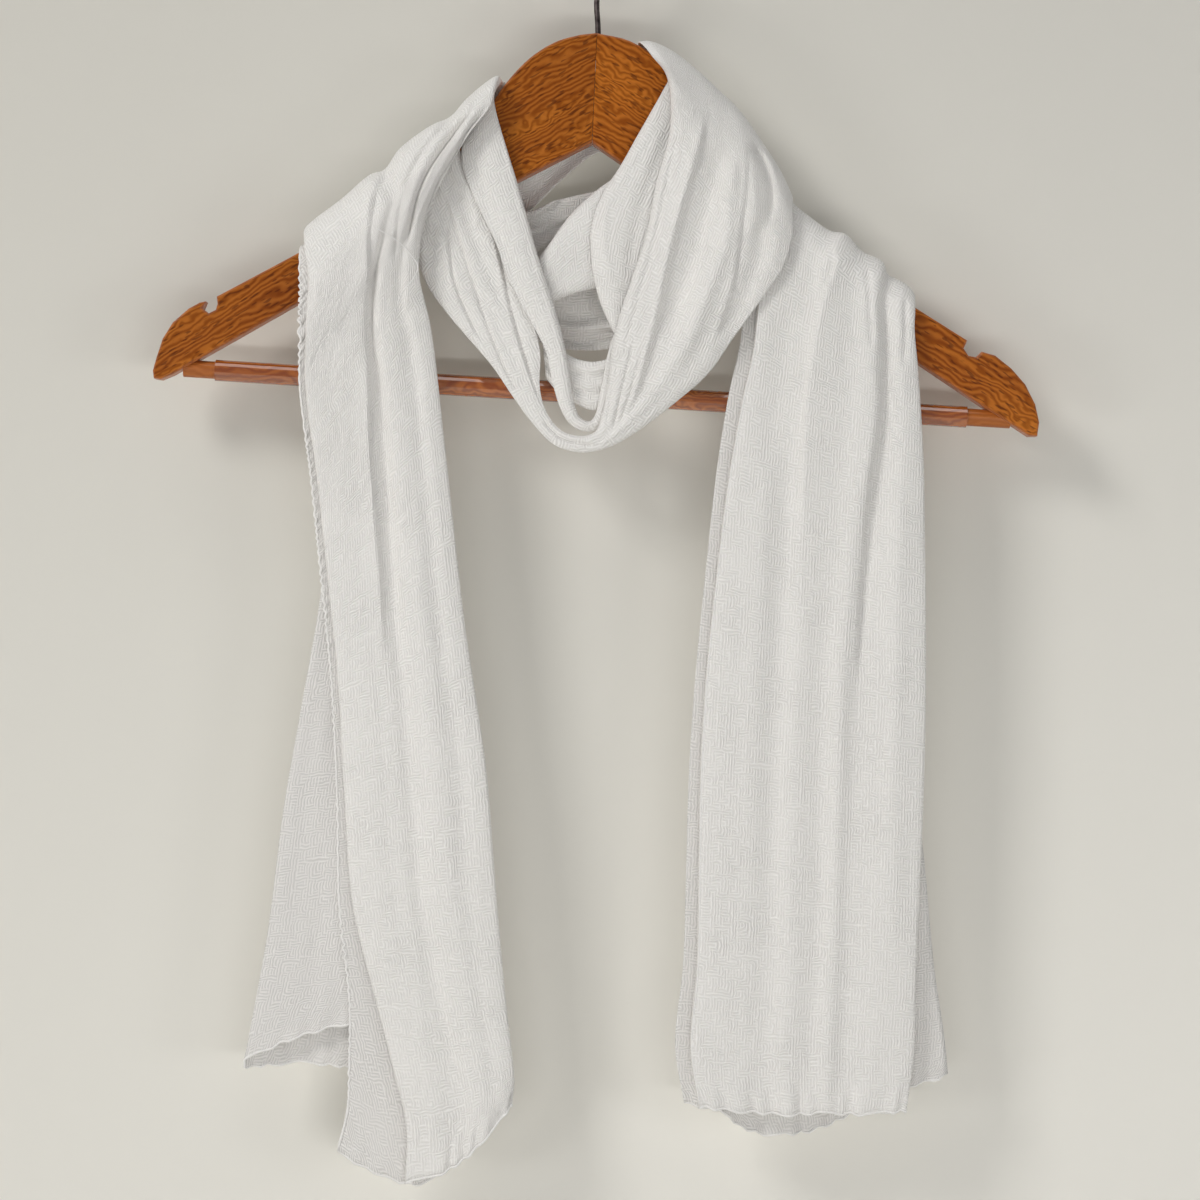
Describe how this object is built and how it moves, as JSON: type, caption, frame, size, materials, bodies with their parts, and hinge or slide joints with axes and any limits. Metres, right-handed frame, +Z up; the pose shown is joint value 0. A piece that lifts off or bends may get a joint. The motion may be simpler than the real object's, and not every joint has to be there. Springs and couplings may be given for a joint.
{
  "type": "dupatta on a wooden hanger",
  "caption": "Long sheer scarf wound once round a wooden hanger, with two hanging tails and a looped neck.",
  "frame": {"origin": "inside top of the hook, where it rests on a rail", "axes": "+Z up, +X to the right of the front view, front towards -Y"},
  "size_m": [0.444, 0.0487, 0.6553],
  "materials": {
    "gauze": "soft crinkled semi-sheer gauze, warm white, matte with a faint sheen",
    "wood": "orange-brown wood under clear lacquer",
    "bar": "stained turned wood",
    "sleeve": "clear brown glossy sleeve",
    "steel": "dark plated wire"
  },
  "bodies": {
    "root": {"hanger_arm_left": "wood", "hanger_arm_right": "wood", "trouser_bar": "bar", "bar_sleeve": "sleeve", "hook": "steel", "left_tail_front": "gauze", "left_tail_back": "gauze", "right_tail_front": "gauze", "right_tail_back": "gauze", "front_loop_outer": "gauze", "front_loop_inner": "gauze", "neck_band_right": "gauze", "neck_strand": "gauze", "low_strand": "gauze", "back_band_upper": "gauze", "back_band_lower": "gauze"}
  },
  "joints": []
}
